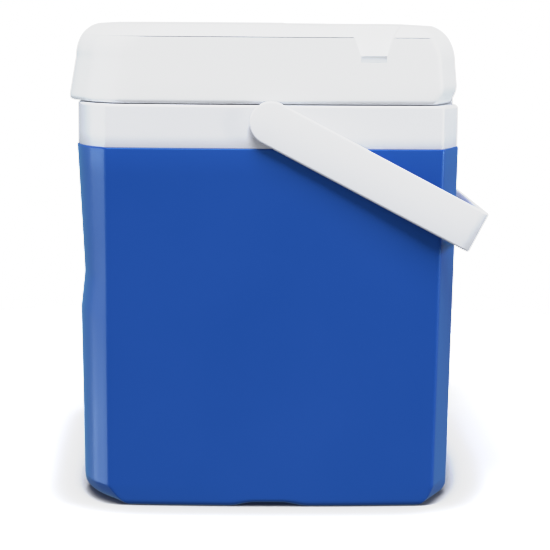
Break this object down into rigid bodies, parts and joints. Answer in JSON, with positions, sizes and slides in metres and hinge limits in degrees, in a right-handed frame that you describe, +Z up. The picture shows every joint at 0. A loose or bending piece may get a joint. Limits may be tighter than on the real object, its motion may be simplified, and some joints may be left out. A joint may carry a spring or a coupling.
{
  "type": "cooler chest",
  "caption": "Hard-sided insulated cooler chest with a tapered tub, hinged lid with cup wells, and a flat-strap bail handle that swings over the lid.",
  "frame": {"origin": "on the floor plane under the middle of the handle's pivot line, in the middle of the base's flat face", "axes": "+Z up; +X along the chest's length, through its right-hand end; -Y to the front, +Y to the hinges"},
  "size_m": [0.432, 0.3436, 0.393],
  "materials": {
    "tub_plastic": "moulded polyethylene, satin, very fine grain",
    "white_plastic": "moulded polyethylene, satin, very fine grain",
    "liner_plastic": "moulded, smooth, easy to wipe",
    "handle_plastic": "moulded, smooth satin",
    "foam": "rigid closed-cell foam, unseen",
    "pivot_plastic": "acetal, smooth",
    "hinge_plastic": "moulded, smooth",
    "steel": "stainless, plain"
  },
  "bodies": {
    "chest": {"base_fill_plug": "tub_plastic", "body_foam": "foam", "hinge_leaf_body_left": "hinge_plastic", "hinge_leaf_body_right": "hinge_plastic", "hinge_pin_left": "steel", "hinge_pin_right": "steel", "hinge_screws_body": "steel", "inner_liner": "liner_plastic", "outer_shell": "tub_plastic", "pivot_bush_left": "pivot_plastic", "pivot_bush_right": "pivot_plastic"},
    "lid": {"lid_shell": "white_plastic", "lid_panel": "liner_plastic", "lid_foam": "foam", "lid_fill_plug": "liner_plastic", "hinge_leaf_lid_right": "hinge_plastic", "hinge_leaf_lid_left": "hinge_plastic", "hinge_screws_lid": "steel"},
    "handle": {"bail_handle": "handle_plastic", "pivot_clip_right": "steel", "pivot_clip_left": "steel"}
  },
  "joints": [
    {"name": "lid_hinge", "type": "hinge", "parent": "chest", "child": "lid", "pos_m": [0, 0.1507, 0.332], "axis": [-1, 0, 0], "range_deg": [0, 100]},
    {"name": "handle_pivot", "type": "hinge", "parent": "chest", "child": "handle", "pos_m": [0, 0, 0.3153], "axis": [1, 0, 0], "range_deg": [0, 232]}
  ]
}
